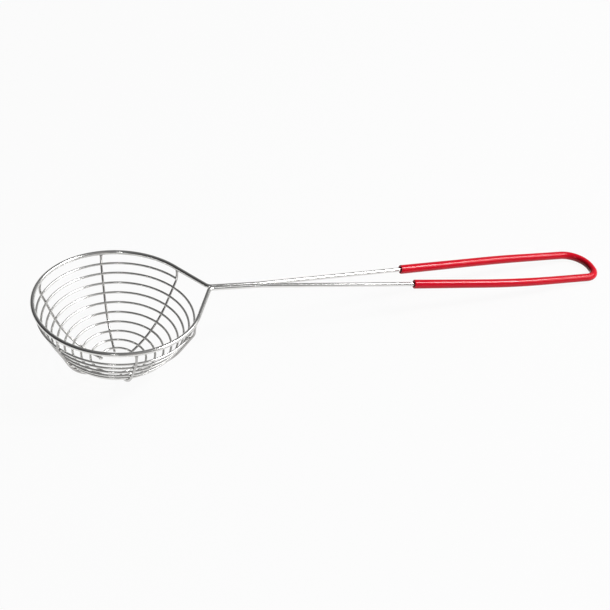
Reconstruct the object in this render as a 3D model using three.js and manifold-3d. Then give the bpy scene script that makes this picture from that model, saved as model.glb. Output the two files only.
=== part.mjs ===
// Fondue sieve: a wire bowl on a long hairpin handle with a plastic grip. Millimetres, +Z up.
//
// The sieve lies as it rests on a table, on the lower ends of its ribs and on the end of the grip,
// with +X along the handle, away from the bowl. It is drawn in the rim's own frame, where the rim
// lies in the plane z = 0 around the origin, and is then pitched onto the table as a whole.

import * as THREE from 'three';
import { mergeVertices } from 'three/addons/utils/BufferGeometryUtils.js';
import Module from 'manifold-3d';

// Frame wire: one wire that makes the rim, the two arms, the neck and the hairpin handle
const FRAME_WIRE = 2; // wire diameter
const RIM_RADIUS = 37.5; // centre line of the rim
const NECK_REACH = 5; // from the rim's centre line out to the neck
const NECK_BEND = 3; // bend radius where an arm turns into a leg
const NECK_LIFTS = [0.65, 1.15]; // of the two legs above the handle's straight line, at the neck
const LEG_GAP = 0.2; // between the two legs at the neck
const NECK_LENGTH = 25.2; // where the legs lie side by side
const FLARE_LENGTH = 127.7; // where they spread
const HANDLE_WIDTH = 19.8; // between the legs' centre lines where they stop spreading
const LOOP_LENGTH = 45.1; // from there to the end of the loop
const LOOP_FLAT = 2; // straight at the loop's end
const LOOP_BENDS = [11.2, 6]; // bend radii on both sides of it
const LOOP_SHIFT = -1.7; // from the handle's middle to the middle of that straight
const LEG_BENDS = [90, 380]; // radii of the slight bends where the flare starts and ends
const HANDLE_DROOP = THREE.MathUtils.degToRad(5.2); // of the handle below the rim plane
const BUTT_GAP = 0.6; // between the wire's two cut ends, inside the grip

// Bowl: upright below the rim, then a cone, then a round bottom
const BOWL_DEPTH = 35.6; // rim plane to the ribs' centre line, on the bowl's axis
const SHOULDER_DEPTH = 6; // rim plane to where the upright wall meets the cone
const SHOULDER_BEND = 6; // bend radius there, on the ribs' centre line
const WALL_SLOPE = THREE.MathUtils.degToRad(29); // of the cone from upright

// Ribs: six wires on the outside of the bowl, set by hand about 60 degrees apart
const RIB_WIRE = 1.1;
const RIB_ANGLES = [29.1, 87.5, 144, 213, 269, 322].map(THREE.MathUtils.degToRad); // from the handle
const RIB_DRIFTS = [0, -0.9, 0, 0, 0, 0]; // of their lower ends, sideways
const RIB_OVERHANG = 1.2; // past the innermost turn that they carry

// Spiral: one wire wound on the inside of the ribs
const SPIRAL_WIRE = 1.1;
const SPIRAL_PITCH = 4.58; // from turn to turn along the wall
const SPIRAL_START = 4.7; // rim plane to the wire's upper end, along the wall
const SPIRAL_TAIL = 1; // upper end past the rib that it starts on
const MOUTH_RADIUS = 7.2; // of the open ring at the bottom, where the wire ends
const WELD_GAP = 0.12; // between wires that are welded where they touch

// Grip: one plastic tube pushed over the hairpin's end
const GRIP_REACHES = [108, 102.9]; // along the wire, from the loop's end to the tube's two ends
const GRIP_WALL = 0.9;
const GRIP_CLEARANCE = 0.15; // radial, around the wire

// Wear flats where the sieve touches the table
const REST_FLAT = 0.35; // depth of the flats

// Facets of the round sections and of the bends
const FRAME_SIDES = 10;
const GRIP_SIDES = 12;
const RIB_SIDES = 8;
const SPIRAL_SIDES = 6;
const RIM_STEP = THREE.MathUtils.degToRad(6);
const BEND_STEP = THREE.MathUtils.degToRad(12);
const RIB_STEP = THREE.MathUtils.degToRad(6);
const TURN_STEPS = 36; // in one turn of the spiral
const BEND_SHARE = 0.49; // most of a straight piece that the bend at one of its ends may take

const { acos, atan2, cos, hypot, sin, tan, PI } = Math;

// Wires

// A path along straight pieces between points, with its section turned so that its x axis follows
// the given side vectors, one for each point.
class WirePath extends THREE.Curve {
  constructor(points, sides) {
    super();
    this.points = points;
    this.sides = sides;
  }

  getPoint(t, target = new THREE.Vector3()) {
    const place = t * (this.points.length - 1);
    const index = Math.min(Math.floor(place), this.points.length - 2);
    return target.lerpVectors(this.points[index], this.points[index + 1], place - index);
  }

  getSpacedPoints() {
    return this.points;
  }

  computeFrenetFrames() {
    const last = this.points.length - 1;
    const tangents = this.points.map((point, i) => {
      const before = this.points[Math.max(i - 1, 0)];
      const after = this.points[Math.min(i + 1, last)];
      const coming = point.clone().sub(before).normalize();
      const going = after.clone().sub(point).normalize();
      return coming.add(going).normalize();
    });
    const normals = tangents.map((tangent, i) => this.sides[i].clone().projectOnPlane(tangent).normalize());
    const binormals = tangents.map((tangent, i) => new THREE.Vector3().crossVectors(tangent, normals[i]));
    return { tangents, normals, binormals };
  }
}

// The corners of a round section, with a flat towards each axis
function circle(diameter, sides) {
  const corners = [];
  for (let i = 0; i < sides; i++) {
    const angle = (2 * PI * (i + 0.5)) / sides;
    corners.push(new THREE.Vector2(cos(angle), sin(angle)).multiplyScalar(diameter / 2));
  }
  return corners;
}

// A closed wire or tube along the points. One side vector may serve them all.
function wire(points, side, diameter, sides, bore = 0) {
  const section = new THREE.Shape(circle(diameter, sides));
  if (bore > 0) section.holes.push(new THREE.Path(circle(bore, sides)));
  const path = new WirePath(points, Array.isArray(side) ? side : points.map(() => side));
  const steps = points.length - 1;
  return new THREE.ExtrudeGeometry(section, { steps, extrudePath: path, bevelEnabled: false });
}

// The points of an arc that rounds the corner of the path before-corner-after
function bend(before, corner, after, radius) {
  const back = before.clone().sub(corner);
  const ahead = after.clone().sub(corner);
  const half = back.angleTo(ahead) / 2;
  const reach = Math.min(radius / tan(half), BEND_SHARE * back.length(), BEND_SHARE * ahead.length());
  const rounding = reach * tan(half);
  const start = back.normalize().multiplyScalar(reach);
  const axis = new THREE.Vector3().crossVectors(start, ahead).normalize().negate();
  const centre = ahead.normalize().multiplyScalar(reach).add(start).setLength(rounding / sin(half));
  const turn = PI - 2 * half;
  const count = Math.ceil(turn / BEND_STEP) + 2;
  const spoke = start.clone().sub(centre);
  return Array.from({ length: count + 1 }, (_, i) =>
    spoke.clone().applyAxisAngle(axis, (turn * i) / count).add(centre).add(corner));
}

// The first stretch of a path, cut at a length
function firstStretch(points, length) {
  const stretch = [points[0]];
  let left = length;
  for (let i = 1; i < points.length && left > 0; i++) {
    const step = points[i].distanceTo(points[i - 1]);
    const part = Math.min(1, left / step);
    stretch.push(new THREE.Vector3().lerpVectors(points[i - 1], points[i], part));
    left -= step;
  }
  return stretch;
}

// Frame wire and grip

const UP = new THREE.Vector3(0, 0, 1);
const NECK = RIM_RADIUS + NECK_REACH;
const LEG_OFFSET = Math.sqrt((FRAME_WIRE + LEG_GAP) ** 2 - (NECK_LIFTS[0] - NECK_LIFTS[1]) ** 2) / 2;
const FLARE_END = NECK_LENGTH + FLARE_LENGTH;
const HANDLE_LENGTH = FLARE_END + LOOP_LENGTH;

// A point of the drooping handle: distance from the neck, place across, height over its middle plane
function onHandle(along, across, lift = 0) {
  const x = NECK + along * cos(HANDLE_DROOP) + lift * sin(HANDLE_DROOP);
  return new THREE.Vector3(x, across, lift * cos(HANDLE_DROOP) - along * sin(HANDLE_DROOP));
}

function onRim(angle) {
  return new THREE.Vector3(RIM_RADIUS * cos(angle), RIM_RADIUS * sin(angle), 0);
}

// Where an arm leaves the rim: the tangent from the neck to the rim's circle
const ARM_ANGLE = atan2(LEG_OFFSET, NECK) + acos(RIM_RADIUS / hypot(NECK, LEG_OFFSET));

// One half of the frame wire, from the middle of the loop's end along a leg and an arm to the rim.
// The side is 1 for the half at +Y, which is the first of each pair of sizes, and -1 for the other.
function halfFrame(side) {
  const which = side > 0 ? 0 : 1;
  const radius = LOOP_BENDS[which];
  const points = [onHandle(HANDLE_LENGTH, LOOP_SHIFT)];
  const count = Math.ceil(PI / 2 / BEND_STEP);
  for (let i = 0; i <= count; i++) {
    const angle = (PI / 2) * (i / count);
    const across = LOOP_SHIFT + side * (LOOP_FLAT / 2 + radius * sin(angle));
    points.push(onHandle(HANDLE_LENGTH - radius + radius * cos(angle), across));
  }
  const loop = points.at(-1);
  const flareEnd = onHandle(FLARE_END, (side * HANDLE_WIDTH) / 2);
  const flareStart = onHandle(NECK_LENGTH, side * LEG_OFFSET, NECK_LIFTS[which]);
  const neck = onHandle(0, side * LEG_OFFSET, NECK_LIFTS[which]);
  const rim = onRim(side * ARM_ANGLE);
  points.push(...bend(loop, flareEnd, flareStart, LEG_BENDS[1]));
  points.push(...bend(flareEnd, flareStart, neck, LEG_BENDS[0]));
  points.push(...bend(flareStart, neck, rim, NECK_BEND));
  points.push(rim);
  return points;
}

function rimArc() {
  const sweep = 2 * PI - 2 * ARM_ANGLE;
  const count = Math.ceil(sweep / RIM_STEP);
  return Array.from({ length: count - 1 }, (_, i) => onRim(ARM_ANGLE + (sweep * (i + 1)) / count));
}

const halves = [halfFrame(1), halfFrame(-1)];

function frameWire() {
  const cutHalves = halves.map((points) => {
    const cut = points[1].clone().sub(points[0]).setLength(BUTT_GAP / 2);
    return [cut.add(points[0]), ...points.slice(1)];
  });
  return wire([...cutHalves[0], ...rimArc(), ...cutHalves[1].reverse()], UP, FRAME_WIRE, FRAME_SIDES);
}

function gripSleeve() {
  const reaches = halves.map((points, i) => firstStretch(points, GRIP_REACHES[i]).slice(1));
  const bore = FRAME_WIRE + 2 * GRIP_CLEARANCE;
  return wire([...reaches[1].reverse(), ...reaches[0]], UP, bore + 2 * GRIP_WALL, GRIP_SIDES, bore);
}

// Bowl wall

// The round bottom is tangent to the cone and reaches the bowl's depth on the axis.
const BOTTOM_RADIUS =
  (RIM_RADIUS * cos(WALL_SLOPE) - (BOWL_DEPTH - SHOULDER_DEPTH) * sin(WALL_SLOPE)) / (1 - sin(WALL_SLOPE));
const BOTTOM_CENTRE = BOTTOM_RADIUS - BOWL_DEPTH;
const SHOULDER_TOP = SHOULDER_BEND * tan(WALL_SLOPE / 2) - SHOULDER_DEPTH;
const CONE_LENGTH =
  (SHOULDER_TOP - SHOULDER_BEND * sin(WALL_SLOPE) - BOTTOM_CENTRE + BOTTOM_RADIUS * sin(WALL_SLOPE)) /
  cos(WALL_SLOPE);

// Radius, height and slope from upright of the wall, on a line that lies an inset inside the ribs' centre
// line. The run is measured down along that line from the top of the shoulder.
function wall(inset, run) {
  const shoulderRun = (SHOULDER_BEND - inset) * WALL_SLOPE;
  const coneRun = run - shoulderRun;
  const bottomRun = coneRun - CONE_LENGTH;
  if (run < 0) return { radius: RIM_RADIUS - inset, height: SHOULDER_TOP - run, slope: 0 };
  if (bottomRun > 0) {
    const radius = BOTTOM_RADIUS - inset;
    const slope = WALL_SLOPE + bottomRun / radius;
    return { radius: radius * cos(slope), height: BOTTOM_CENTRE - radius * sin(slope), slope };
  }
  const slope = Math.min(WALL_SLOPE, run / (SHOULDER_BEND - inset));
  const past = Math.max(coneRun, 0);
  const radius = RIM_RADIUS - SHOULDER_BEND + (SHOULDER_BEND - inset) * cos(slope) - past * sin(slope);
  const height = SHOULDER_TOP - (SHOULDER_BEND - inset) * sin(slope) - past * cos(slope);
  return { radius, height, slope };
}

// The run at which that line has turned to a slope on the round bottom
function bottomRunAt(inset, slope) {
  return (SHOULDER_BEND - inset) * WALL_SLOPE + CONE_LENGTH + (slope - WALL_SLOPE) * (BOTTOM_RADIUS - inset);
}

function onWall(inset, run, angle) {
  const { radius, height } = wall(inset, run);
  return new THREE.Vector3(radius * cos(angle), radius * sin(angle), height);
}

// Spiral

const SPIRAL_INSET = (RIB_WIRE + SPIRAL_WIRE) / 2 + WELD_GAP;
const SPIRAL_TOP = SPIRAL_START + SHOULDER_TOP;
const SPIRAL_END = bottomRunAt(SPIRAL_INSET, acos(MOUTH_RADIUS / (BOTTOM_RADIUS - SPIRAL_INSET)));
const SPIRAL_TURNS = (SPIRAL_END - SPIRAL_TOP) / SPIRAL_PITCH;

function spiralPoints() {
  const tail = SPIRAL_TAIL / (2 * PI * wall(SPIRAL_INSET, SPIRAL_TOP).radius);
  const count = Math.ceil(SPIRAL_TURNS * TURN_STEPS);
  const turns = [-tail, ...Array.from({ length: count + 1 }, (_, i) => (SPIRAL_TURNS * i) / count)];
  const points = [];
  const normals = [];
  for (const turn of turns) {
    const run = SPIRAL_TOP + SPIRAL_PITCH * Math.max(turn, 0);
    const angle = RIB_ANGLES[0] + 2 * PI * turn;
    const { slope } = wall(SPIRAL_INSET, run);
    points.push(onWall(SPIRAL_INSET, run, angle));
    normals.push(new THREE.Vector3(cos(slope) * cos(angle), cos(slope) * sin(angle), -sin(slope)));
  }
  return { points, normals };
}

// The least clear gap from one turn to another
function leastGap(points, diameter) {
  let least = Infinity;
  for (let i = 0; i < points.length; i++)
    for (let j = i + TURN_STEPS / 2; j < points.length; j++)
      least = Math.min(least, points[i].distanceTo(points[j]));
  return least - diameter;
}

const spiral = spiralPoints();
const spiralGap = leastGap(spiral.points, SPIRAL_WIRE);
console.log(`spiral: ${SPIRAL_TURNS.toFixed(2)} turns, least gap ${spiralGap.toFixed(2)} mm`);

// Ribs

// A rib stands under the rim and ends just past the last turn that crosses it.
function rib(angle, drift) {
  const fraction = (angle - RIB_ANGLES[0]) / (2 * PI);
  const lastTurn = fraction + Math.floor(SPIRAL_TURNS - fraction);
  const lastSlope = wall(SPIRAL_INSET, SPIRAL_TOP + SPIRAL_PITCH * lastTurn).slope;
  const top = SHOULDER_TOP + FRAME_WIRE / 2 + WELD_GAP;
  const runs = [top];
  const shoulderSteps = Math.ceil(WALL_SLOPE / RIB_STEP);
  for (let i = 0; i <= shoulderSteps; i++) runs.push((SHOULDER_BEND * WALL_SLOPE * i) / shoulderSteps);
  const endSlope = lastSlope + RIB_OVERHANG / BOTTOM_RADIUS;
  const bottomSteps = Math.ceil((endSlope - WALL_SLOPE) / RIB_STEP);
  for (let i = 0; i <= bottomSteps; i++)
    runs.push(bottomRunAt(0, WALL_SLOPE + ((endSlope - WALL_SLOPE) * i) / bottomSteps));
  const across = new THREE.Vector3(-sin(angle), cos(angle), 0);
  const drifted = (run) => onWall(0, run, angle).addScaledVector(across, (drift * run) / runs.at(-1));
  return wire(runs.map(drifted), across, RIB_WIRE, RIB_SIDES);
}

// Assembly

const steel = new THREE.MeshStandardMaterial({ color: 0xc6c5c1, roughness: 0.22, metalness: 1 });
const redPlastic = new THREE.MeshStandardMaterial({ color: 0xc4112a, roughness: 0.3, metalness: 0 });

const sieve = new THREE.Group();

function add(name, geometry, material) {
  const mesh = new THREE.Mesh(geometry, material);
  mesh.name = name;
  sieve.add(mesh);
  return mesh;
}

add('frame_wire', frameWire(), steel);
add('bowl_spiral', wire(spiral.points, spiral.normals, SPIRAL_WIRE, SPIRAL_SIDES), steel);
const ribs = RIB_ANGLES.map((angle, i) => add(`rib_${i + 1}`, rib(angle, RIB_DRIFTS[i]), steel));
const grip = add('grip_sleeve', gripSleeve(), redPlastic);

// Rest on the table

// Lowest height of a mesh when the sieve is pitched, handle down, about the rim's centre
function lowest(mesh, pitch) {
  const { array } = mesh.geometry.getAttribute('position');
  let low = Infinity;
  for (let i = 0; i < array.length; i += 3) {
    low = Math.min(low, array[i + 2] * cos(pitch) - array[i] * sin(pitch));
  }
  return low;
}

function lowestRib(pitch) {
  return Math.min(...ribs.map((mesh) => lowest(mesh, pitch)));
}

// The pitch at which the bowl and the grip touch one table, found by halving
function restPitch() {
  const halvings = 50;
  let level = -PI / 4;
  let steep = PI / 4;
  for (let i = 0; i < halvings; i++) {
    const middle = (level + steep) / 2;
    if (lowestRib(middle) < lowest(grip, middle)) level = middle;
    else steep = middle;
  }
  return level;
}

sieve.rotation.y = restPitch();
sieve.position.z = -lowestRib(sieve.rotation.y) - REST_FLAT;
sieve.updateMatrix();

const wasm = await Module();
wasm.setup();

function toSolid(geometry) {
  const bare = new THREE.BufferGeometry().setAttribute('position', geometry.getAttribute('position'));
  const merged = mergeVertices(bare.setIndex(geometry.index));
  const vertProperties = merged.getAttribute('position').array;
  const triVerts = new Uint32Array(merged.index.array);
  return new wasm.Manifold(new wasm.Mesh({ numProp: 3, vertProperties, triVerts }));
}

function toGeometry(solid) {
  const { vertProperties, triVerts } = solid.getMesh();
  const geometry = new THREE.BufferGeometry();
  geometry.setAttribute('position', new THREE.BufferAttribute(vertProperties, 3));
  geometry.setIndex(new THREE.BufferAttribute(triVerts, 1));
  return geometry;
}

// Each wire that dips below the table is worn flat there.
const tableSize = 4 * HANDLE_LENGTH;
const table = new THREE.BoxGeometry(tableSize, tableSize, RIM_RADIUS)
  .translate(0, 0, -RIM_RADIUS / 2)
  .applyMatrix4(sieve.matrix.clone().invert());
const tableSolid = toSolid(table);
for (const mesh of [...ribs, grip]) {
  if (lowest(mesh, sieve.rotation.y) + sieve.position.z < 0)
    mesh.geometry = toGeometry(toSolid(mesh.geometry).subtract(tableSolid));
}

// The origin is under the middle of the sieve's length and width.
const part = new THREE.Group().add(sieve);
part.updateMatrixWorld(true);
const middle = new THREE.Box3().setFromObject(part, true).getCenter(new THREE.Vector3());
sieve.position.x -= middle.x;
sieve.position.y -= middle.y;

export default part;
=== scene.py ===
"""Looks of a fondue sieve: a bowl of spiral wire on a hairpin handle with a red plastic grip.

Metres, +Z up, +X along the handle, away from the bowl. Every wire is worked out in the rim's own frame,
where the rim lies in the plane z = 0 round the origin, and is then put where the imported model's rim lies.
"""

import math

import bpy
import numpy as np
from bpy.props import FloatProperty, FloatVectorProperty, PointerProperty
from mathutils import Matrix, Vector


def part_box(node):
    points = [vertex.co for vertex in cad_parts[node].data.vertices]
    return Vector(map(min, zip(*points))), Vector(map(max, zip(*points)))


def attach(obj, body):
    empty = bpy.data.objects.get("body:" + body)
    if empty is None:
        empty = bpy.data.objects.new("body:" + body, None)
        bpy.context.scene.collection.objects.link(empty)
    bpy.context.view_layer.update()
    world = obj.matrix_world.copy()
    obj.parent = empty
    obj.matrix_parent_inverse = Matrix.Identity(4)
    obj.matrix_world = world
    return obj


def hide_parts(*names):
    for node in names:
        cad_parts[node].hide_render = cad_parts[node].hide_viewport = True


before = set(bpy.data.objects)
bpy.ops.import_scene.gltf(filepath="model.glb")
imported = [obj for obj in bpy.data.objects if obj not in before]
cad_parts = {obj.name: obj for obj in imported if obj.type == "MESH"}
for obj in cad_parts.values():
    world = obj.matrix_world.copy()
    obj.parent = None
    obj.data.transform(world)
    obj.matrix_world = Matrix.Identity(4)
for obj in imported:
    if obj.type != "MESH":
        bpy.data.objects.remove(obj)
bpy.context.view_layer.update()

bl_info = {
    "name": "Fondue Sieve",
    "version": (1, 0, 0),
    "blender": (4, 5, 0),
    "location": "3D View > Sidebar > Sieve",
    "description": "Dresses the packed fondue sieve with smooth wires, welds, a grip and a stage",
    "category": "Object",
}

MM = 0.001
UP = np.array([0.0, 0.0, 1.0])

# Fineness of the meshes
FRAME_SIDES = 20
RIB_SIDES = 16
SPIRAL_SIDES = 12
GRIP_SIDES = 40
FRAME_STEP = 0.4 * MM  # between the rings of the frame wire and of the grip
SPIRAL_STEP = 0.3 * MM
RIB_STEP = 0.15 * MM
ROUND_STEPS = 5  # rings on the rounded edge of a cut end
BEAD_STEPS = 40  # rings on the weld bead at the neck
ARC_STEPS = 40  # points on a bend
RIM_STEPS = 360
SPIRAL_POINTS = 4000  # on its path
RIB_POINTS = 400  # on its path
GRIP_POINTS = 4  # on its path, for each ring

# Shares and small shapes
FRAME_EDGE = 0.1  # rounding of the frame wire's cut ends, in diameters
THIN_EDGE = 0.125  # the same on the thin wires
RIM_WELD_SHARE = 1 / 3  # how much the rim swells at a rib's weld, against the rib
RIM_HEAT_SHARE = 1.5  # the same for how far the heat reaches
BEAD_TIP = 0.1  # angle cut off at the tips of the neck's weld bead
BEAD_RIPPLE = 0.12  # how much its rings swell and shrink
BEAD_WAVES = 7.0  # of the ripple, in a full turn
BEAD_PHASE = 1.0
BEAD_HEAT = 0.5  # its heat tint
BEAD_SPOTS = np.linspace(-0.4, 0.4, 9)  # where its heat comes from, in bead lengths
BORE_SHADE_DEPTH = 0.2  # share of the grip's wall in which the painted shade of the bore fades

# Patterns: waves to the metre along a wire and both ways across it, and depth of relief
STEEL_LINES = (60.0, 9000.0, 9000.0)
STEEL_PATCHES = (90.0, 500.0, 500.0)
PLASTIC_LINES = (25.0, 2200.0, 2200.0)
PLASTIC_PEEL = (900.0, 900.0, 900.0)
PLASTIC_CLOUDS = (60.0, 250.0, 250.0)
STEEL_RELIEF = 0.02 * MM
PLASTIC_RELIEF = 0.03 * MM

# Levels of noise between which a patch appears
DULL_LEVELS = (0.45, 0.75)
TINT_LEVELS = (0.3, 0.6)
STAIN_LEVELS = (0.4, 0.8)

# Floor, room and picture
FLOOR_SIZE = 8.0
ROOM_FALL = 1.3  # power by which the room darkens away from the lamps
PHOTO_PIXELS = 610


# Settings

def measure(label, description, values, unit, subtype, **others):
    """A property of one value, or of several."""
    texts = {"name": label, "description": description, "unit": unit}
    if len(values) == 1:
        return FloatProperty(default=values[0], subtype=subtype, **texts, **others)
    return FloatVectorProperty(default=values, size=len(values), **texts, **others)


def length(label, description, *millimetres):
    """One or more lengths, their defaults given in millimetres."""
    values = [value * MM for value in millimetres]
    return measure(label, description, values, "LENGTH", "DISTANCE", precision=5)


def angle(label, description, *degrees):
    """One or more angles, their defaults given in degrees."""
    return measure(label, description, [math.radians(value) for value in degrees], "ROTATION", "ANGLE")


def colour(label, description, *linear):
    """A colour property in linear red, green and blue."""
    return FloatVectorProperty(name=label, description=description, size=3, default=linear,
                               min=0.0, max=1.0, subtype="COLOR")


def share(label, description, value):
    """A property from 0 to 1."""
    return FloatProperty(name=label, description=description, default=value, min=0.0, max=1.0,
                         subtype="FACTOR")


def brightness(label, description, value):
    """How bright a lamp is, seen straight on, where 1 is white."""
    return FloatProperty(name=label, description=description, default=value, min=0.0)


class FrameWireSizes(bpy.types.PropertyGroup):
    """The wire that makes the rim, the arms, the neck and the hairpin handle."""

    wire: length("Wire", "Diameter of the wire", 2.0)
    rim_radius: length("Rim Radius", "Of the rim's centre line", 37.5)
    neck_reach: length("Neck Reach", "From the rim's centre line out to the neck", 5.0)
    neck_bend: length("Neck Bend", "Bend radius where an arm turns into a leg", 3.0)
    neck_lifts: length("Neck Lifts", "Height of both legs over the handle's line at the neck", 0.65, 1.15)
    leg_gap: length("Leg Gap", "Between the two legs at the neck", 0.2)
    neck_length: length("Neck Length", "Where the legs lie side by side", 25.2)
    flare_length: length("Flare Length", "Where the legs spread", 127.7)
    handle_width: length("Handle Width", "Between the legs where they stop spreading", 19.8)
    loop_length: length("Loop Length", "From there to the loop's end", 45.1)
    loop_flat: length("Loop Flat", "Straight at the loop's end", 2.0)
    loop_bends: length("Loop Bends", "Bend radii on both sides of that straight", 11.2, 6.0)
    loop_shift: length("Loop Shift", "From the handle's middle to the middle of that straight", -1.7)
    leg_bends: length("Leg Bends", "Radii of the slight bends where the flare starts and ends", 90, 380)
    droop: angle("Droop", "Of the handle below the rim's plane", 5.2)
    butt_gap: length("Butt Gap", "Between the wire's two cut ends, inside the grip", 0.6)
    bead_place: length("Bead Place", "From the neck to the middle of the weld between the legs", 5.5)
    bead_size: length("Bead Size", "Length, width and height of that weld", 5.2, 1.5, 1.3)
    bead_heat: length("Bead Heat", "How far that weld's heat tinted the legs", 4.0)


class BowlSizes(bpy.types.PropertyGroup):
    """The ribs, the spiral and the wall that they follow."""

    depth: length("Depth", "From the rim's plane to the ribs' centre line on the axis", 35.6)
    shoulder_depth: length("Shoulder", "From the rim's plane to where the upright wall meets the cone", 6.0)
    shoulder_bend: length("Shoulder Bend", "Bend radius there, on the ribs' centre line", 6.0)
    slope: angle("Wall Slope", "Of the cone from upright", 29.0)
    rib_wire: length("Rib Wire", "Diameter of the ribs", 1.1)
    rib_angles: angle("Rib Angles", "Places of the ribs from the handle", 29.1, 87.5, 144, 213, 269, 322)
    rib_drifts: length("Rib Drifts", "Of the ribs' lower ends, sideways", 0, -0.9, 0, 0, 0, 0)
    rib_overhang: length("Rib Overhang", "Past the innermost turn that a rib carries", 1.2)
    spiral_wire: length("Spiral Wire", "Diameter of the spiral's wire", 1.1)
    pitch: length("Pitch", "From turn to turn along the wall", 4.58)
    start: length("Start", "From the rim's plane to the wire's upper end, along the wall", 4.7)
    tail: length("Tail", "Upper end past the rib that it starts on", 1.0)
    mouth_radius: length("Mouth", "Radius of the open ring where the wire ends", 7.2)
    weld_gap: length("Weld Gap", "Between wires, which the welds fill", 0.12)
    weld_height: length("Weld Height", "How far a wire swells towards a weld", 0.16)
    weld_reach: length("Weld Reach", "How far from its middle a weld swells", 0.6)
    rim_weld_height: length("Rim Weld Height", "How far the wires swell where a rib meets the rim", 0.3)
    rim_weld_reach: length("Rim Weld Reach", "How far from its middle such a weld swells", 1.1)
    heat_reach: length("Heat Reach", "How far a weld's heat tinted the wire", 2.2)


class GripSizes(bpy.types.PropertyGroup):
    """The plastic tube on the hairpin's end."""

    reaches: length("Reaches", "Along the wire, from the loop's end to the tube's two ends", 108, 102.9)
    wall: length("Wall", "Thickness of the tube", 0.9)
    clearance: length("Clearance", "Around the wire", 0.15)
    edge: length("Edge", "Rounding of the tube's cut ends", 0.4)
    thinning: share("Thinning", "How much thinner the tube is where it is drawn round the loop", 0.08)
    thin_reaches: length("Thin Reaches", "From the loop's end to where the thinning fades", 20, 60)
    flaring: share("Flaring", "How much wider the tube is at its open ends", 0.05)
    flare_reaches: length("Flare Reaches", "From the loop's end to where the flaring grows", 70, 107)
    mouth: length("Mouth", "How much wider the bore is at the tube's open ends", 0.25)
    mouth_depth: length("Mouth Depth", "How far in the bore is wider", 2.5)
    pucker: length("Pucker", "Depth of the ripples inside the loop", 0.06)
    pucker_step: length("Pucker Step", "From ripple to ripple", 1.7)
    pucker_reaches: length("Pucker Reaches", "From the loop's end to where the ripples fade", 10, 22)


class FinishSettings(bpy.types.PropertyGroup):
    """Colours and gloss of the two materials."""

    steel: colour("Steel", "Bright drawn steel wire", 0.76, 0.755, 0.74)
    steel_dull: colour("Dull Steel", "Where drawing and handling dulled it", 0.58, 0.575, 0.56)
    # painted shade: the ribs get a darker copy of the steel colour, standing in for the dim surroundings
    # that they mirror
    steel_annealed: colour("Annealed Steel", "The ribs, greyer from their welds", 0.46, 0.45, 0.44)
    steel_heat: colour("Heat Tint", "Straw and brown beside the welds", 0.30, 0.21, 0.15)
    thin_roughness: share("Thin Roughness", "Of the bright thin wires", 0.13)
    thick_roughness: share("Thick Roughness", "Of the satin frame wire", 0.11)
    plastic: colour("Plastic", "Red of the grip", 0.70, 0.001, 0.017)
    plastic_deep: colour("Deep Plastic", "The same where it is thin or stained", 0.56, 0.001, 0.013)
    # painted shade: near-black red on the loop's inner side, where it faces the bowl
    plastic_fold: colour("Loop Shade Plastic", "The same where the loop squeezes it", 0.12, 0.001, 0.004)
    # painted shade: near-black in the bore and on the inner edges of the cut ends
    plastic_cut: colour("Bore Shade Plastic", "Inside the grip's open ends", 0.03, 0.002, 0.003)
    plastic_roughness: share("Plastic Roughness", "Of the grip", 0.08)


class StageSettings(bpy.types.PropertyGroup):
    """Floor, lamps and camera."""

    floor: colour("Floor", "Plain pale floor", 0.7, 0.7, 0.7)
    floor_glow: share("Floor Glow", "How much of the floor's white is its own, seen or mirrored", 0.93)
    room_dark: colour("Dark Room", "The room on the side away from the lamps", 0.02, 0.02, 0.021)
    room_light: colour("Light Room", "The same on the lamps' side", 0.42, 0.42, 0.42)
    room_azimuth: angle("Room Azimuth", "Where the room is lightest, from +X", -5.0)
    panel: brightness("Panel", "Of the wide upright lamp past the handle's end", 4.0)
    panel_size: length("Panel Size", "Of that lamp", 1596, 730)
    panel_place: length("Panel Place", "Of that lamp's middle", 1200, -375, 925)
    key: brightness("Key", "Of the main lamp, seen above the upright one", 30.0)
    key_size: length("Key Size", "Of that lamp", 398, 315)
    key_place: length("Key Place", "Of that lamp's middle", 887, -323, 1166)
    slit: brightness("Slit", "Of the narrow lamp in front", 18.0)
    slit_size: length("Slit Size", "Of that lamp", 28, 170)
    slit_place: length("Slit Place", "Of that lamp's middle", -258, -621, 520)
    bounce: brightness("Bounce", "Of the warm card in front", 0.2)
    bounce_tint: colour("Bounce Tint", "Of that card", 1.0, 0.86, 0.82)
    bounce_size: length("Bounce Size", "Of that card", 170, 500)
    bounce_place: length("Bounce Place", "Of that card's middle", 4, -590, 400)
    view_azimuth: angle("View Azimuth", "Of the camera round the rim", -22.45)
    view_elevation: angle("View Elevation", "Of the camera over the rim's plane", 37.3)
    view_roll: angle("View Roll", "Of the camera about its line of sight", 6.06)
    view_distance: length("View Distance", "From the camera to the rim's centre, in depth", 771.8)
    field_of_view: angle("Field of View", "Of the square picture", 20.0)
    rim_pixel: FloatVectorProperty(name="Rim Pixel", description="Where the rim's centre is in the picture",
                                   size=2, default=(117.24, 301.62))


class SieveSettings(bpy.types.PropertyGroup):
    """All settings of the sieve."""

    frame_wire: PointerProperty(type=FrameWireSizes)
    bowl: PointerProperty(type=BowlSizes)
    grip: PointerProperty(type=GripSizes)
    finish: PointerProperty(type=FinishSettings)
    stage: PointerProperty(type=StageSettings)


# Paths

def unit(vectors):
    """The vectors at length 1."""
    return vectors / np.linalg.norm(vectors, axis=-1, keepdims=True)


def travelled(points):
    """Length along a path at each of its points."""
    return np.concatenate([[0.0], np.cumsum(np.linalg.norm(np.diff(points, axis=0), axis=1))])


def at_lengths(values, known, wanted):
    """Values given at known lengths, at the wanted lengths by straight lines between them."""
    return np.stack([np.interp(wanted, known, column) for column in values.T], axis=1)


def once_round(sides):
    """Angles of a ring's corners."""
    return np.linspace(0, 2 * math.pi, sides, endpoint=False)


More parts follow.
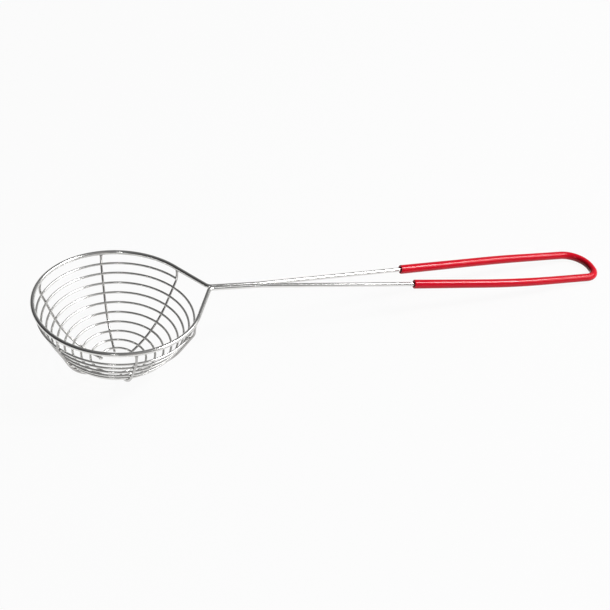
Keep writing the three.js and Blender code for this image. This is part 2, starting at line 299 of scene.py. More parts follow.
def bend(before, corner, after, radius):
    """The arc that rounds a corner: corner + centre + spoke cos a + sweep sin a, a from 0 to the turn."""
    back = unit(before - corner)
    ahead = unit(after - corner)
    half = math.acos(np.dot(back, ahead)) / 2
    centre = unit(back + ahead) * radius / math.sin(half)
    spoke = back * radius / math.tan(half) - centre
    sweep = -back * radius
    turn = np.linspace(0, math.pi - 2 * half, ARC_STEPS)[:, None]
    return corner + centre + spoke * np.cos(turn) + sweep * np.sin(turn)


class HandlePath:
    """Centre line of the frame wire in the rim's frame."""

    def __init__(self, sizes):
        self.sizes = sizes
        self.neck = sizes.rim_radius + sizes.neck_reach
        lift = sizes.neck_lifts[1] - sizes.neck_lifts[0]
        self.leg_offset = math.sqrt((sizes.wire + sizes.leg_gap) ** 2 - lift ** 2) / 2
        self.flare_end = sizes.neck_length + sizes.flare_length
        self.end = self.flare_end + sizes.loop_length
        tangent = math.acos(sizes.rim_radius / math.hypot(self.neck, self.leg_offset))
        self.arm_angle = math.atan2(self.leg_offset, self.neck) + tangent

    def on_handle(self, along, across, lift=0.0):
        """Points of the drooping handle: along it from the neck, across it and over its middle plane."""
        droop = self.sizes.droop
        along, across, lift = np.broadcast_arrays(along, across, lift)
        x = self.neck + along * math.cos(droop) + lift * math.sin(droop)
        return np.stack([x, across, lift * math.cos(droop) - along * math.sin(droop)], axis=-1)

    def on_rim(self, turn):
        """Points of the rim's circle: radius times cos and sin of the turn."""
        turn = np.asarray(turn)
        return self.sizes.rim_radius * np.stack([np.cos(turn), np.sin(turn), 0 * turn], axis=-1)

    def half(self, side):
        """One half, from the middle of the loop's end along a leg and an arm to the rim, at +Y or -Y.

        The loop's quarter is a circle's arc, and the corners from there to the neck are rounded by arcs.
        """
        sizes = self.sizes
        which = 0 if side > 0 else 1
        radius = sizes.loop_bends[which]
        turn = np.linspace(0, math.pi / 2, ARC_STEPS)
        across = sizes.loop_shift + side * (sizes.loop_flat / 2 + radius * np.sin(turn))
        loop = self.on_handle(self.end - radius + radius * np.cos(turn), across)
        lift = sizes.neck_lifts[which]
        flare_end = self.on_handle(self.flare_end, side * sizes.handle_width / 2)
        flare_start = self.on_handle(sizes.neck_length, side * self.leg_offset, lift)
        neck = self.on_handle(0.0, side * self.leg_offset, lift)
        rim = self.on_rim(side * self.arm_angle)
        return np.concatenate([
            self.on_handle(self.end, sizes.loop_shift)[None],
            loop,
            bend(loop[-1], flare_end, flare_start, sizes.leg_bends[1]),
            bend(flare_end, flare_start, neck, sizes.leg_bends[0]),
            bend(flare_start, neck, rim, sizes.neck_bend),
            rim[None],
        ])

    def whole(self):
        """The whole wire, from one cut end in the loop round the rim to the other."""
        cut = np.array([0.0, self.sizes.butt_gap / 2, 0.0])
        first, second = self.half(1), self.half(-1)
        first[0] += cut
        second[0] -= cut
        sweep = np.linspace(self.arm_angle, 2 * math.pi - self.arm_angle, RIM_STEPS)
        return np.concatenate([first, self.on_rim(sweep)[1:-1], second[::-1]])

    def on_bead(self, along, across=0.0, lift=0.0):
        """Points from the middle of the weld that lies in the groove on top of the legs."""
        middle = sum(self.sizes.neck_lifts) / 2 + self.sizes.bead_size[2] / 4
        return self.on_handle(self.sizes.bead_place + along, across, middle + lift)

    def bead_line(self):
        """Places along the middle of that weld."""
        return self.on_bead(BEAD_SPOTS * self.sizes.bead_size[0])

    def bead(self):
        """That weld: an ellipsoid whose rings are 1 + ripple sin(waves a + phase) times as wide.

        The angle a goes down from its first tip.
        """
        size = np.array(self.sizes.bead_size)
        down = np.linspace(BEAD_TIP, math.pi - BEAD_TIP, BEAD_STEPS)[:, None]
        around = once_round(FRAME_SIDES)
        ring = np.sin(down) * (1 + BEAD_RIPPLE * np.sin(BEAD_WAVES * down + BEAD_PHASE))
        along = -np.cos(down) * size[0] / 2 + 0 * around
        across, lift = ring * np.cos(around) * size[1] / 2, ring * np.sin(around) * size[2] / 2
        return self.on_bead(along, across, lift), np.stack([along, across, lift], axis=-1)


class BowlWall:
    """The bowl's wall in the rim's frame: upright under the rim, a shoulder, a cone and a round bottom."""

    def __init__(self, sizes, rim_radius, rim_wire):
        self.sizes = sizes
        self.rim_radius = rim_radius
        slope = sizes.slope
        below = sizes.depth - sizes.shoulder_depth
        self.bottom = (rim_radius * math.cos(slope) - below * math.sin(slope)) / (1 - math.sin(slope))
        self.top = sizes.shoulder_bend * math.tan(slope / 2) - sizes.shoulder_depth
        cone_end = self.bottom - sizes.depth - self.bottom * math.sin(slope)
        cone_drop = self.top - sizes.shoulder_bend * math.sin(slope) - cone_end
        self.cone = cone_drop / math.cos(slope)
        self.inset = (sizes.rib_wire + sizes.spiral_wire) / 2 + sizes.weld_gap
        self.spiral_top = sizes.start + self.top
        last_slope = math.acos(sizes.mouth_radius / (self.bottom - self.inset))
        self.spiral_end = self.bottom_run(self.inset, last_slope)
        self.turns = (self.spiral_end - self.spiral_top) / sizes.pitch
        self.rib_top = self.top + rim_wire / 2

    def bottom_run(self, inset, slope):
        """The run at which a line an inset inside the ribs has turned to a slope on the round bottom."""
        shoulder = (self.sizes.shoulder_bend - inset) * self.sizes.slope
        return shoulder + self.cone + (slope - self.sizes.slope) * (self.bottom - inset)

    def at(self, inset, run):
        """Radius, height and slope where a line an inset inside the ribs has run down from the shoulder.

        From the upright's radius and height come off, one after the other, the arc of the shoulder, the
        straight cone and the arc of the bottom, each for as much of the run as lies on it.
        """
        run = np.asarray(run, float)
        slope = self.sizes.slope
        shoulder = self.sizes.shoulder_bend - inset
        bottom = self.bottom - inset
        first = np.clip(run / shoulder, 0, slope)
        cone = np.clip(run - shoulder * slope, 0, self.cone)
        last = slope + np.maximum(run - shoulder * slope - self.cone, 0) / bottom
        radius = self.rim_radius - inset - shoulder * (1 - np.cos(first)) - cone * math.sin(slope)
        radius = radius - bottom * (math.cos(slope) - np.cos(last))
        height = self.top - np.minimum(run, 0) - shoulder * np.sin(first) - cone * math.cos(slope)
        height = height - bottom * (np.sin(last) - math.sin(slope))
        return radius, height, np.where(last > slope, last, first)

    def points(self, inset, run, turn):
        """Points of that line at angles round the bowl, and the wall's outward normals there."""
        radius, height, slope = self.at(inset, run)
        across, around = np.cos(turn), np.sin(turn)
        places = np.stack([radius * across, radius * around, height], axis=-1)
        normals = np.stack([np.cos(slope) * across, np.cos(slope) * around, -np.sin(slope)], axis=-1)
        return places, normals

    def spiral(self):
        """Centre line of the spiral: the run grows by the pitch in each turn, after a level tail."""
        radius = self.at(self.inset, self.spiral_top)[0]
        tail = self.sizes.tail / (2 * math.pi * radius)
        turns = np.linspace(-tail, self.turns, SPIRAL_POINTS)
        run = self.spiral_top + self.sizes.pitch * np.maximum(turns, 0)
        return self.points(self.inset, run, self.sizes.rib_angles[0] + 2 * math.pi * turns)

    def rib_turns(self, which):
        """Turns of the spiral, counted from its start, at which it crosses a rib."""
        sizes = self.sizes
        first = (sizes.rib_angles[which] - sizes.rib_angles[0]) / (2 * math.pi)
        return first + np.arange(math.floor(self.turns - first) + 1)

    def rib_end(self, which):
        """The run at which a rib ends, an overhang past the last turn that crosses it."""
        last = self.spiral_top + self.sizes.pitch * self.rib_turns(which)[-1]
        slope = self.at(self.inset, last)[2]
        return self.bottom_run(0.0, slope + self.sizes.rib_overhang / self.bottom)

    def rib(self, which):
        """Centre line of a rib: the wall's line at one angle, drifting sideways in step with the run."""
        turn = self.sizes.rib_angles[which]
        run = np.linspace(self.rib_top, self.rib_end(which), RIB_POINTS)
        across = np.array([-math.sin(turn), math.cos(turn), 0.0])
        drift = self.sizes.rib_drifts[which] * run / run[-1]
        return self.points(0.0, run, turn)[0] + drift[:, None] * across, across

    def crossings(self, which):
        """Middles of the welds between a rib and the spiral's turns."""
        sizes = self.sizes
        turns = self.rib_turns(which)
        run = self.spiral_top + sizes.pitch * turns
        drift = sizes.rib_drifts[which] * run / self.rib_end(which)
        turn = sizes.rib_angles[which] + drift / self.at(self.inset, run)[0]
        places, normals = self.points(self.inset, run, turn)
        return places + normals * (sizes.spiral_wire + sizes.weld_gap) / 2

    def all_crossings(self):
        """Middles of all welds between ribs and spiral."""
        return np.concatenate([self.crossings(which) for which in range(len(self.sizes.rib_angles))])

    def rim_welds(self):
        """Middles of the welds between the ribs' upper ends and the rim."""
        turns = np.array(self.sizes.rib_angles)
        return self.points(0.0, np.full(turns.shape, self.rib_top), turns)[0]


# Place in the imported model

def rim_place(sizes):
    """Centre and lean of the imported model's rim.

    The rim's plane is the one from which the corners of its far half spread least. Its centre is a rim
    radius and half a wire in from the frame wire's far end, and down from its top as the lean gives.
    """
    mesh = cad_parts["frame_wire"].data
    corners = np.empty(len(mesh.vertices) * 3)
    mesh.vertices.foreach_get("co", corners)
    corners = corners.reshape(-1, 3)
    low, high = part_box("frame_wire")
    far = corners[corners[:, 0] < low.x + sizes.rim_radius]
    normal = np.linalg.svd(far - far.mean(axis=0), full_matrices=False)[2][-1]
    lean = math.atan(normal[0] / normal[2])
    x = low.x + sizes.rim_radius * math.cos(lean) + sizes.wire / 2
    z = high.z - sizes.rim_radius * math.sin(lean) - sizes.wire / 2
    return np.array([x, 0.0, z]), lean


def turned(vectors, lean):
    """Vectors of the rim's frame, turned by the lean about Y."""
    x, y, z = np.moveaxis(np.asarray(vectors), -1, 0)
    sine, cosine = math.sin(lean), math.cos(lean)
    return np.stack([x * cosine + z * sine, y, z * cosine - x * sine], axis=-1)


# Surfaces

def stations(total, step, edge):
    """Lengths along a wire at which it has rings, and how far its radius is drawn in there.

    The rings are a step apart, and at both ends they follow a quarter circle that rounds the cut edge.
    """
    quarter = np.linspace(0, math.pi / 2, ROUND_STEPS)
    lead = edge * (1 - np.cos(quarter))
    inner = np.linspace(edge, total - edge, max(round((total - 2 * edge) / step), 2) + 1)
    places = np.concatenate([lead[:-1], inner, total - lead[-2::-1]])
    drawn = edge * (1 - np.sin(quarter))
    return places, np.concatenate([drawn[:-1], 0 * inner, drawn[-2::-1]])


def ring_frames(centres, places, sides):
    """Two vectors square to the path at each place, the first of them nearest to the given side."""
    along = unit(np.gradient(centres, places, axis=0))
    first = unit(sides - np.sum(sides * along, axis=1, keepdims=True) * along)
    return first, np.cross(along, first)


def eased(values, low, high):
    """0 up to low and 1 from high on, with 3 t^2 - 2 t^3 for the part t of the way between them."""
    part = np.clip((values - low) / (high - low), 0, 1)
    return part * part * (3 - 2 * part)


def nearness(points, spots, reach):
    """exp(-(d / reach)^2) at each point, where d is the way to the nearest spot."""
    gap = np.linalg.norm(points[..., None, :] - spots, axis=-1).min(axis=-1)
    return np.exp(-((gap / reach) ** 2))


def swell(points, outward, spots, height, reach):
    """Points pushed outward by height times their nearness to the spots."""
    return points + outward * (height * nearness(points, spots, reach))[..., None]


def spokes(first, second, around):
    """Outward unit vectors of rings: cos a first + sin a second, for each angle a."""
    return first[:, None] * np.cos(around)[:, None] + second[:, None] * np.sin(around)[:, None]


def drawn_out(places, radii, around):
    """Points of rings if their wire were straight along x."""
    along = np.broadcast_to(places[:, None], (len(places), len(around)))
    return np.stack([along, radii * np.cos(around), radii * np.sin(around)], axis=-1)


class WireSurface:
    """A round wire along a path: centre + radius (cos a first + sin a second), a going once round."""

    def __init__(self, path, sides, radius, step, edge, ring_sides):
        known = travelled(path)
        places, drawn = stations(known[-1], step, edge)
        around = once_round(ring_sides)
        centres = at_lengths(path, known, places)
        sides = np.broadcast_to(sides, path.shape)
        self.outward = spokes(*ring_frames(centres, places, at_lengths(sides, known, places)), around)
        radii = (radius - drawn)[:, None]
        self.points = centres[:, None] + self.outward * radii[..., None]
        self.straight = drawn_out(places, radii, around)


class GripSurface:
    """The grip: rings along the hairpin's end, out on the tube's outside and back through its bore."""

    def __init__(self, sizes, handle):
        self.sizes = sizes
        self.bore = handle.sizes.wire / 2 + sizes.clearance
        self.outer = self.bore + sizes.wall
        far, near = handle.half(1)[1:], handle.half(-1)[1:]
        path = np.concatenate([near[::-1], far])
        known = travelled(path)
        middle = known[len(near) - 1] + handle.sizes.loop_flat / 2
        self.start, self.end = middle - sizes.reaches[1], middle + sizes.reaches[0]
        self.rows = round((self.end - self.start) / FRAME_STEP)
        self.places, plain = self.section()
        self.walls = plain - self.bore
        self.away = np.abs(self.places - middle)
        radii = self.shaped_radii()[:, None]
        around = once_round(GRIP_SIDES)
        outward = self.outward(path, known, around)
        self.fold = self.folded(outward, handle)
        pushed = radii - self.ripples()[:, None] * self.fold
        self.points = at_lengths(path, known, self.places)[:, None] + outward * pushed[..., None]
        self.straight = drawn_out(self.places, radii, around)
        # painted shade in the bore, fading out over the inner part of the cut ends' faces
        dark = 1 - eased(self.walls, 0.0, BORE_SHADE_DEPTH * sizes.wall)
        self.cut = np.broadcast_to(dark[:, None], self.fold.shape)

    def section(self):
        """Places along the wire and plain radii of the rings: outside, one end, bore and the other end.

        The four cut edges are quarter circles, and the end faces between them are flat.
        """
        edge, start, end, outer, inner = self.sizes.edge, self.start, self.end, self.outer, self.bore
        long = np.linspace(start + edge, end - edge, self.rows)
        level = np.ones(self.rows)
        quarter = np.linspace(0, math.pi / 2, ROUND_STEPS)[1:-1]
        round_in, round_out = edge * (1 - np.sin(quarter)), edge * (1 - np.cos(quarter))
        face = np.linspace(outer - edge, inner + edge, ROUND_STEPS)
        still = np.ones(ROUND_STEPS)
        places = [long, end - round_in, end * still, end - round_out,
                  long[::-1], start + round_in, start * still, start + round_out]
        radii = [outer * level, outer - round_out, face, inner + round_in,
                 inner * level, inner + round_out, face[::-1], outer - round_in]
        return np.concatenate(places), np.concatenate(radii)

    def shaped_radii(self):
        """The rings' radii, with the wall thinner round the loop and wider at the ends, the bore belled."""
        sizes = self.sizes
        drawn = 1 - sizes.thinning * (1 - eased(self.away, *sizes.thin_reaches))
        drawn = drawn + sizes.flaring * eased(self.away, *sizes.flare_reaches)
        radii = self.bore + self.walls * (self.outer * drawn - self.bore) / (self.outer - self.bore)
        to_end = np.minimum(self.places - self.start, self.end - self.places)
        belled = 1 - eased(to_end, 0, sizes.mouth_depth)
        return radii + sizes.mouth * belled * (1 - self.walls / sizes.wall)

    def outward(self, path, known, around):
        """The rings' outward vectors, from frames at evenly spaced points of the path."""
        spaced = np.linspace(self.start, self.end, GRIP_POINTS * self.rows)
        centres = at_lengths(path, known, spaced)
        frames = ring_frames(centres, spaced, np.broadcast_to(UP, centres.shape))
        return spokes(*[at_lengths(vectors, spaced, self.places) for vectors in frames], around)

    def folded(self, outward, handle):
        """How much the loop squeezes the tube: the squared cosine to the bowl, fading along the legs. It
        sets the ripples' depth and also the painted shade on the loop's inner side.
        """
        towards_bowl = handle.on_handle(-1.0, 0.0) - handle.on_handle(0.0, 0.0)
        near_loop = 1 - eased(self.away, *self.sizes.pucker_reaches)
        return np.maximum(outward @ towards_bowl, 0) ** 2 * near_loop[:, None]

    def ripples(self):
        """Depth of the ripples on the outside: pucker times (1 + cos(2 pi place / step)) / 2."""
        wave = (1 + np.cos(2 * math.pi * self.places / self.sizes.pucker_step)) / 2
        return self.sizes.pucker * wave * (self.walls > self.sizes.wall / 2)


def grid_faces(rows, columns, wrap):
    """Quads of a grid whose columns close on themselves, and whose rows do too if wrapped."""
    row = np.arange(rows if wrap else rows - 1)[:, None]
    column = np.arange(columns)[None]
    after, beside = (row + 1) % rows, (column + 1) % columns
    here, there = row * columns, after * columns
    corners = np.broadcast_arrays(here + column, here + beside, there + beside, there + column)
    return np.stack(corners, axis=-1).reshape(-1, 4)


def placed(name, data):
    """A new object in the scene."""
    thing = bpy.data.objects.new(name, data)
    bpy.context.scene.collection.objects.link(thing)
    return thing


def grid_piece(name, points, place, lean, wrap=False, **attributes):
    """A mesh object from a grid of points in the rim's frame, put in place and flat on the table.

    Without wrapping, both end rings get a flat face. Each attribute holds one value or vector a point.
    """
    rows, columns = points.shape[:2]
    world = turned(points, lean) + place
    world[..., 2] = np.maximum(world[..., 2], 0.0)
    faces = grid_faces(rows, columns, wrap).tolist()
    smooth = [True] * len(faces)
    if not wrap:
        first = list(range(columns))
        faces += [first[::-1], [(rows - 1) * columns + index for index in first]]
        smooth += [False, False]
    mesh = bpy.data.meshes.new(name)
    mesh.from_pydata(world.reshape(-1, 3).tolist(), [], faces)
    mesh.polygons.foreach_set("use_smooth", smooth)
    for key, values in attributes.items():
        vector = values.ndim == 3
        layer = mesh.attributes.new(key, "FLOAT_VECTOR" if vector else "FLOAT", "POINT")
        layer.data.foreach_set("vector" if vector else "value", values.astype(np.float32).ravel())
    mesh.validate()
    return placed(name, mesh)


def seat(piece, material, slot, *nodes):
    """Gives a piece its material, hides the nodes that it stands for and sets it on the body that it rides
    on; the slot is not used.
    """
    piece.data.materials.append(material)
    if nodes:
        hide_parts(*nodes)
    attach(piece, "root")


# Shaders

class Value:
    """An output socket whose operators add Math nodes, so that shader maths reads as an expression."""

    def __init__(self, shader, socket):
        self.shader = shader
        self.socket = socket

    def maths(self, operation, first, second):
        return self.shader.add("ShaderNodeMath", {"operation": operation}, {0: first, 1: second})

    def __add__(self, other):
        return self.maths("ADD", self, other)

    def __radd__(self, other):
        return self.maths("ADD", other, self)

    def __mul__(self, other):
        return self.maths("MULTIPLY", self, other)

    def __rmul__(self, other):
        return self.maths("MULTIPLY", other, self)

    def __pow__(self, other):
        return self.maths("POWER", self, other)


class Shader:
    """A node tree that is filled node by node."""

    def __init__(self, tree):
        self.tree = tree
        tree.nodes.clear()

    def add(self, kind, settings=None, sockets=None, output=0):
        """Adds a node: its type, its settings, the values or links of its sockets. Gives one output."""
        node = self.tree.nodes.new(kind)
        for key, value in (settings or {}).items():
            setattr(node, key, value)
        for key, value in (sockets or {}).items():
            if isinstance(value, Value):
                self.tree.links.new(value.socket, node.inputs[key])
            else:
                node.inputs[key].default_value = value
        return Value(self, node.outputs[output]) if len(node.outputs) else None

    def attribute(self, name, output):
        return self.add("ShaderNodeAttribute", {"attribute_name": name}, output=output)

    def noise(self, vector, waves, detail=3.0):
        """Noise with so many waves to the metre along each axis of a vector."""
        scaled = self.add("ShaderNodeVectorMath", {"operation": "MULTIPLY"}, {0: vector, 1: waves})
        return self.add("ShaderNodeTexNoise", {}, {"Vector": scaled, "Scale": 1.0, "Detail": detail})

    def relief(self, height, strength, depth):
        return self.add("ShaderNodeBump", {}, {"Strength": strength, "Distance": depth, "Height": height})

    def finish(self, base, roughness, normal, **others):
        """Ends the tree in one Principled surface."""
        surface = self.add("ShaderNodeBsdfPrincipled", {}, {
            "Base Color": base, "Roughness": roughness, "Normal": normal, **others})
        self.add("ShaderNodeOutputMaterial", {}, {"Surface": surface})

    def stretched(self, value, low, high):
        """The value with low to high spread over 0 to 1, and clamped there."""
        return self.add("ShaderNodeMapRange", {"interpolation_type": "SMOOTHSTEP"},
                        {"Value": value, "From Min": low, "From Max": high})

    def mixed(self, factor, first, second):
        """A colour between two."""
        return self.add("ShaderNodeMix", {"data_type": "RGBA"}, {0: factor, 6: first, 7: second}, output=2)


def opaque(linear):
    """A property's colour as the four numbers that a colour socket takes."""
    return (*linear, 1.0)


def new_material(name):
    """A material with an empty node tree, and its shader."""
    material = bpy.data.materials.new(name)
    material.use_nodes = True
    return material, Shader(material.node_tree)


def drawn_steel(name, finish, metal, least):
    """Drawn steel wire of a colour and least roughness: lines along it, dull patches, a tint by welds."""
    material, shader = new_material(name)
    straight = shader.attribute("straight", "Vector")
    heat = shader.attribute("heat", "Fac")
    lines = shader.noise(straight, STEEL_LINES, 4.0)
    patches = shader.noise(straight, STEEL_PATCHES)
    dull = shader.stretched(patches, *DULL_LEVELS)
    tint = heat * (0.35 + 0.55 * shader.stretched(patches, *TINT_LEVELS))
    bright = shader.mixed(dull * 0.5, opaque(metal), opaque(finish.steel_dull))
    base = shader.mixed(tint, bright, opaque(finish.steel_heat))
    roughness = least + 0.1 * dull + 0.08 * lines + 0.12 * heat
    normal = shader.relief(lines, 0.06, STEEL_RELIEF)
    shader.finish(base, roughness, normal, Metallic=1.0)
    return material


def bright_steel(finish):
    """The spiral's steel."""
    return drawn_steel("bright_steel", finish, finish.steel, finish.thin_roughness)


def annealed_steel(finish):
    """The ribs' steel: a darker copy of the steel colour, as painted shade for the dim surroundings that
    the ribs mirror.
    """
    return drawn_steel("annealed_steel", finish, finish.steel_annealed, finish.thin_roughness)


def satin_steel(finish):
    """The frame wire's steel."""
    return drawn_steel("satin_steel", finish, finish.steel, finish.thick_roughness)


def red_plastic(finish):
    """Glossy soft plastic tube: faint drawing lines and orange peel, painted shade in the bore and on the
    inner edges of its cut ends, and painted shade on the loop's inner side.
    """
    material, shader = new_material("red_plastic")
    straight = shader.attribute("straight", "Vector")
    # the next two attributes carry painted shade: in the bore and cut ends' inner edges, and on the loop's
    # inner side
    cut = shader.attribute("cut", "Fac")
    fold = shader.attribute("fold", "Fac")
    lines = shader.noise(straight, PLASTIC_LINES)
    peel = shader.noise(straight, PLASTIC_PEEL, 2.0)
    stain = shader.stretched(shader.noise(straight, PLASTIC_CLOUDS), *STAIN_LEVELS)
    body = shader.mixed(stain * 0.3, opaque(finish.plastic), opaque(finish.plastic_deep))
    # painted shade on the loop's inner side, where it faces the bowl
    folded = shader.mixed(fold * 0.85, body, opaque(finish.plastic_fold))
    # painted shade in the bore and on the inner edges of the cut ends
    base = shader.mixed(cut, folded, opaque(finish.plastic_cut))
    roughness = finish.plastic_roughness + 0.05 * stain + 0.04 * lines + 0.3 * cut
    normal = shader.relief(0.6 * lines + 0.4 * peel, 0.05, PLASTIC_RELIEF)
    shader.finish(base, roughness, normal, **{"Metallic": 0.0, "Specular IOR Level": 0.3})
    return material


def material_of(maker, finish):
    """The material that a maker function makes, made once and shared."""
    return bpy.data.materials.get(maker.__name__) or maker(finish)


# Pieces

def sieve_shapes(settings):
    """The handle's path, the bowl's wall, and the place and lean of the rim."""
    handle = HandlePath(settings.frame_wire)
    wall = BowlWall(settings.bowl, settings.frame_wire.rim_radius, settings.frame_wire.wire)
    return handle, wall, *rim_place(settings.frame_wire)


class SIEVE_OT_frame_wire(bpy.types.Operator):
    """Bend the frame wire: rim, arms, neck and hairpin handle"""

    bl_idname = "sieve.frame_wire"
    bl_label = "Frame Wire"

    def execute(self, context):
        settings = context.scene.sieve
        handle, wall, place, lean = sieve_shapes(settings)
        sizes, bowl = settings.frame_wire, settings.bowl
        edge = FRAME_EDGE * sizes.wire
        wire = WireSurface(handle.whole(), UP, sizes.wire / 2, FRAME_STEP, edge, FRAME_SIDES)
        spots = wall.rim_welds()
        height = RIM_WELD_SHARE * bowl.rim_weld_height
        points = swell(wire.points, wire.outward, spots, height, bowl.rim_weld_reach)
        rim_heat = nearness(points, spots, RIM_HEAT_SHARE * bowl.heat_reach)
        heat = np.maximum(rim_heat, nearness(points, handle.bead_line(), sizes.bead_heat))
        piece = grid_piece("bent_frame_wire", points, place, lean, straight=wire.straight, heat=heat)
        seat(piece, material_of(satin_steel, settings.finish), "steel", "frame_wire")
        return {"FINISHED"}


class SIEVE_OT_neck_weld(bpy.types.Operator):
    """Run the weld bead between the two legs at the neck"""

    bl_idname = "sieve.neck_weld"
    bl_label = "Neck Weld"

    def execute(self, context):
        settings = context.scene.sieve
        handle, _, place, lean = sieve_shapes(settings)
        points, straight = handle.bead()
        heat = np.full(points.shape[:2], BEAD_HEAT)
        piece = grid_piece("neck_weld_bead", points, place, lean, straight=straight, heat=heat)
        seat(piece, material_of(satin_steel, settings.finish), "steel")
        return {"FINISHED"}


class SIEVE_OT_bowl_spiral(bpy.types.Operator):
    """Wind the bowl's spiral"""

    bl_idname = "sieve.bowl_spiral"
    bl_label = "Bowl Spiral"

    def execute(self, context):
        settings = context.scene.sieve
        _, wall, place, lean = sieve_shapes(settings)
        bowl = settings.bowl
        path, normals = wall.spiral()
        edge = THIN_EDGE * bowl.spiral_wire
        wire = WireSurface(path, normals, bowl.spiral_wire / 2, SPIRAL_STEP, edge, SPIRAL_SIDES)
        spots = wall.all_crossings()
        points = swell(wire.points, wire.outward, spots, bowl.weld_height, bowl.weld_reach)
        heat = nearness(points, spots, bowl.heat_reach)
        piece = grid_piece("wound_bowl_spiral", points, place, lean, straight=wire.straight, heat=heat)
        seat(piece, material_of(bright_steel, settings.finish), "steel", "bowl_spiral")
        return {"FINISHED"}


class SIEVE_OT_ribs(bpy.types.Operator):
    """Set the six ribs and their welds"""

    bl_idname = "sieve.ribs"
    bl_label = "Ribs"

    def execute(self, context):
        settings = context.scene.sieve
        _, wall, place, lean = sieve_shapes(settings)
        bowl = settings.bowl
        edge = THIN_EDGE * bowl.rib_wire
        rim_spots = wall.rim_welds()
        for which in range(len(bowl.rib_angles)):
            path, across = wall.rib(which)
            wire = WireSurface(path, across, bowl.rib_wire / 2, RIB_STEP, edge, RIB_SIDES)
            spots = wall.crossings(which)
            points = swell(wire.points, wire.outward, spots, bowl.weld_height, bowl.weld_reach)
            points = swell(points, wire.outward, rim_spots, bowl.rim_weld_height, bowl.rim_weld_reach)
            heat = nearness(points, np.concatenate([spots, rim_spots]), bowl.heat_reach)
            name = f"rib_{which + 1}"
            piece = grid_piece(f"welded_{name}", points, place, lean, straight=wire.straight, heat=heat)
            # the ribs' darker steel is painted shade for the dim surroundings that they mirror
            seat(piece, material_of(annealed_steel, settings.finish), "steel", name)
        return {"FINISHED"}


class SIEVE_OT_grip(bpy.types.Operator):
    """Draw the plastic grip over the hairpin's end"""

    bl_idname = "sieve.grip"
    bl_label = "Grip"

    def execute(self, context):
        settings = context.scene.sieve
        handle, _, place, lean = sieve_shapes(settings)
        tube = GripSurface(settings.grip, handle)
        piece = grid_piece("red_grip_tube", tube.points, place, lean, wrap=True,
                           straight=tube.straight, cut=tube.cut, fold=tube.fold)
        seat(piece, material_of(red_plastic, settings.finish), "grip", "grip_sleeve")
        return {"FINISHED"}


# Stage

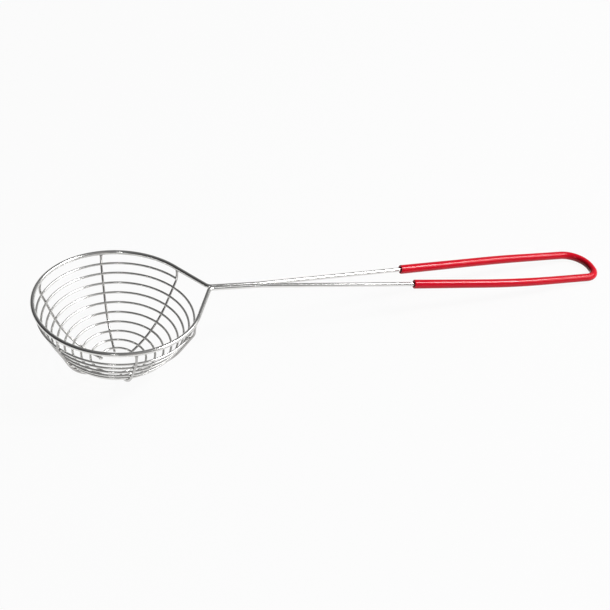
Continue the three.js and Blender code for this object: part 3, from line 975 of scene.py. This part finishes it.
class SIEVE_OT_stage(bpy.types.Operator):
    """Set the floor, the lamps and the camera"""

    bl_idname = "sieve.stage"
    bl_label = "Stage"

    def execute(self, context):
        settings = context.scene.sieve
        stage = settings.stage
        place, lean = rim_place(settings.frame_wire)
        context.scene.view_settings.view_transform = "Standard"
        self.floor(stage)
        context.scene.world = self.surround(stage)
        middle, bowl = Vector(), Vector(place)
        level = Vector((0.0, *stage.panel_place[1:]))
        self.lamp(stage, "panel", level)
        self.lamp(stage, "key", middle)
        self.lamp(stage, "slit", bowl)
        self.lamp(stage, "bounce", bowl).color = stage.bounce_tint
        context.scene.camera = self.camera(stage, place, lean)
        return {"FINISHED"}

    def floor(self, stage):
        """A flat pale floor whose white is partly its own where it is seen or mirrored."""
        material, shader = new_material("pale_floor")
        path = [shader.add("ShaderNodeLightPath", output=kind)
                for kind in ("Is Camera Ray", "Is Glossy Ray", "Is Transmission Ray")]
        diffuse = shader.add("ShaderNodeBsdfDiffuse", {}, {"Color": opaque(stage.floor)})
        glow = shader.add("ShaderNodeEmission", {}, {"Color": (1.0, 1.0, 1.0, 1.0), "Strength": 1.0})
        seen = (path[0] + path[1] + path[2]) * stage.floor_glow
        surface = shader.add("ShaderNodeMixShader", {}, {0: seen, 1: diffuse, 2: glow})
        shader.add("ShaderNodeOutputMaterial", {}, {"Surface": surface})
        half = FLOOR_SIZE / 2
        corners = [(-half, -half, 0), (half, -half, 0), (half, half, 0), (-half, half, 0)]
        mesh = bpy.data.meshes.new("floor")
        mesh.from_pydata(corners, [], [(0, 1, 2, 3)])
        mesh.materials.append(material)
        thing = placed("floor", mesh)

    def surround(self, stage):
        """A room that is light on one side: ((1 + cosine to it) / 2)^fall of the way from dark to light."""
        world = bpy.data.worlds.new("surround")
        world.use_nodes = True
        shader = Shader(world.node_tree)
        towards = shader.add("ShaderNodeTexCoord", output="Generated")
        side = (math.cos(stage.room_azimuth), math.sin(stage.room_azimuth), 0.0)
        facing = shader.add("ShaderNodeVectorMath", {"operation": "DOT_PRODUCT"},
                            {0: towards, 1: side}, output=1)
        lit = (0.5 + 0.5 * facing) ** ROOM_FALL
        tone = shader.mixed(lit, opaque(stage.room_dark), opaque(stage.room_light))
        room = shader.add("ShaderNodeBackground", {}, {"Color": tone, "Strength": 1.0})
        shader.add("ShaderNodeOutputWorld", {}, {"Surface": room})
        return world

    def lamp(self, stage, name, target):
        """The named rectangular lamp, of an even brightness, turned to a target."""
        size = getattr(stage, f"{name}_size")
        data = bpy.data.lights.new(name, "AREA")
        data.shape = "RECTANGLE"
        data.size, data.size_y = size
        data.energy = getattr(stage, name) * math.pi * size[0] * size[1]
        lamp = placed(name, data)
        lamp.location = getattr(stage, f"{name}_place")
        lamp.rotation_mode = "QUATERNION"
        lamp.rotation_quaternion = (lamp.location - target).to_track_quat("Z", "Y")
        lamp.visible_camera = False
        return data

    def camera(self, stage, place, lean):
        """The camera, from its azimuth, elevation, roll and distance about the rim, in the rim's frame."""
        azimuth, elevation, roll = stage.view_azimuth, stage.view_elevation, stage.view_roll
        level = math.cos(elevation)
        back = np.array([math.sin(azimuth) * level, -math.cos(azimuth) * level, math.sin(elevation)])
        right = np.array([math.cos(azimuth), math.sin(azimuth), 0.0])
        above = np.cross(back, right)
        right, above = (math.cos(roll) * right + math.sin(roll) * above,
                        math.cos(roll) * above - math.sin(roll) * right)
        half = PHOTO_PIXELS / 2
        per_pixel = stage.view_distance * math.tan(stage.field_of_view / 2) / half
        shift_x = (stage.rim_pixel[0] - half) * per_pixel
        shift_y = (half - stage.rim_pixel[1]) * per_pixel
        spot = stage.view_distance * back - shift_x * right - shift_y * above
        data = bpy.data.cameras.new("camera")
        data.sensor_fit = "HORIZONTAL"
        data.angle = stage.field_of_view
        camera = placed("camera", data)
        axes = turned(np.stack([right, above, back]), lean)
        matrix = np.eye(4)
        matrix[:3, :3] = axes.T
        matrix[:3, 3] = turned(spot, lean) + place
        camera.matrix_world = Matrix(matrix.tolist())
        return camera


class SIEVE_PT_sidebar(bpy.types.Panel):
    """Makes the sieve's pieces, one button each"""

    bl_idname = "SIEVE_PT_sidebar"
    bl_label = "Fondue Sieve"
    bl_space_type = "VIEW_3D"
    bl_region_type = "UI"
    bl_category = "Sieve"

    def draw(self, context):
        for operator in OPERATORS:
            self.layout.operator(operator.bl_idname)
        for group in SieveSettings.__annotations__:
            box = self.layout.box()
            settings = getattr(context.scene.sieve, group)
            for name in settings.__annotations__:
                box.prop(settings, name)


OPERATORS = (SIEVE_OT_frame_wire, SIEVE_OT_neck_weld, SIEVE_OT_bowl_spiral, SIEVE_OT_ribs, SIEVE_OT_grip,
             SIEVE_OT_stage)
CLASSES = (FrameWireSizes, BowlSizes, GripSizes, FinishSettings, StageSettings, SieveSettings,
           *OPERATORS, SIEVE_PT_sidebar)


def register():
    for item in CLASSES:
        bpy.utils.register_class(item)
    bpy.types.Scene.sieve = PointerProperty(type=SieveSettings)


def unregister():
    del bpy.types.Scene.sieve
    for item in reversed(CLASSES):
        bpy.utils.unregister_class(item)


def main():
    """Makes the pieces and the stage."""
    register()
    bpy.ops.sieve.frame_wire()
    bpy.ops.sieve.neck_weld()
    bpy.ops.sieve.bowl_spiral()
    bpy.ops.sieve.ribs()
    bpy.ops.sieve.grip()
    bpy.ops.sieve.stage()


if __name__ == "__main__":
    main()
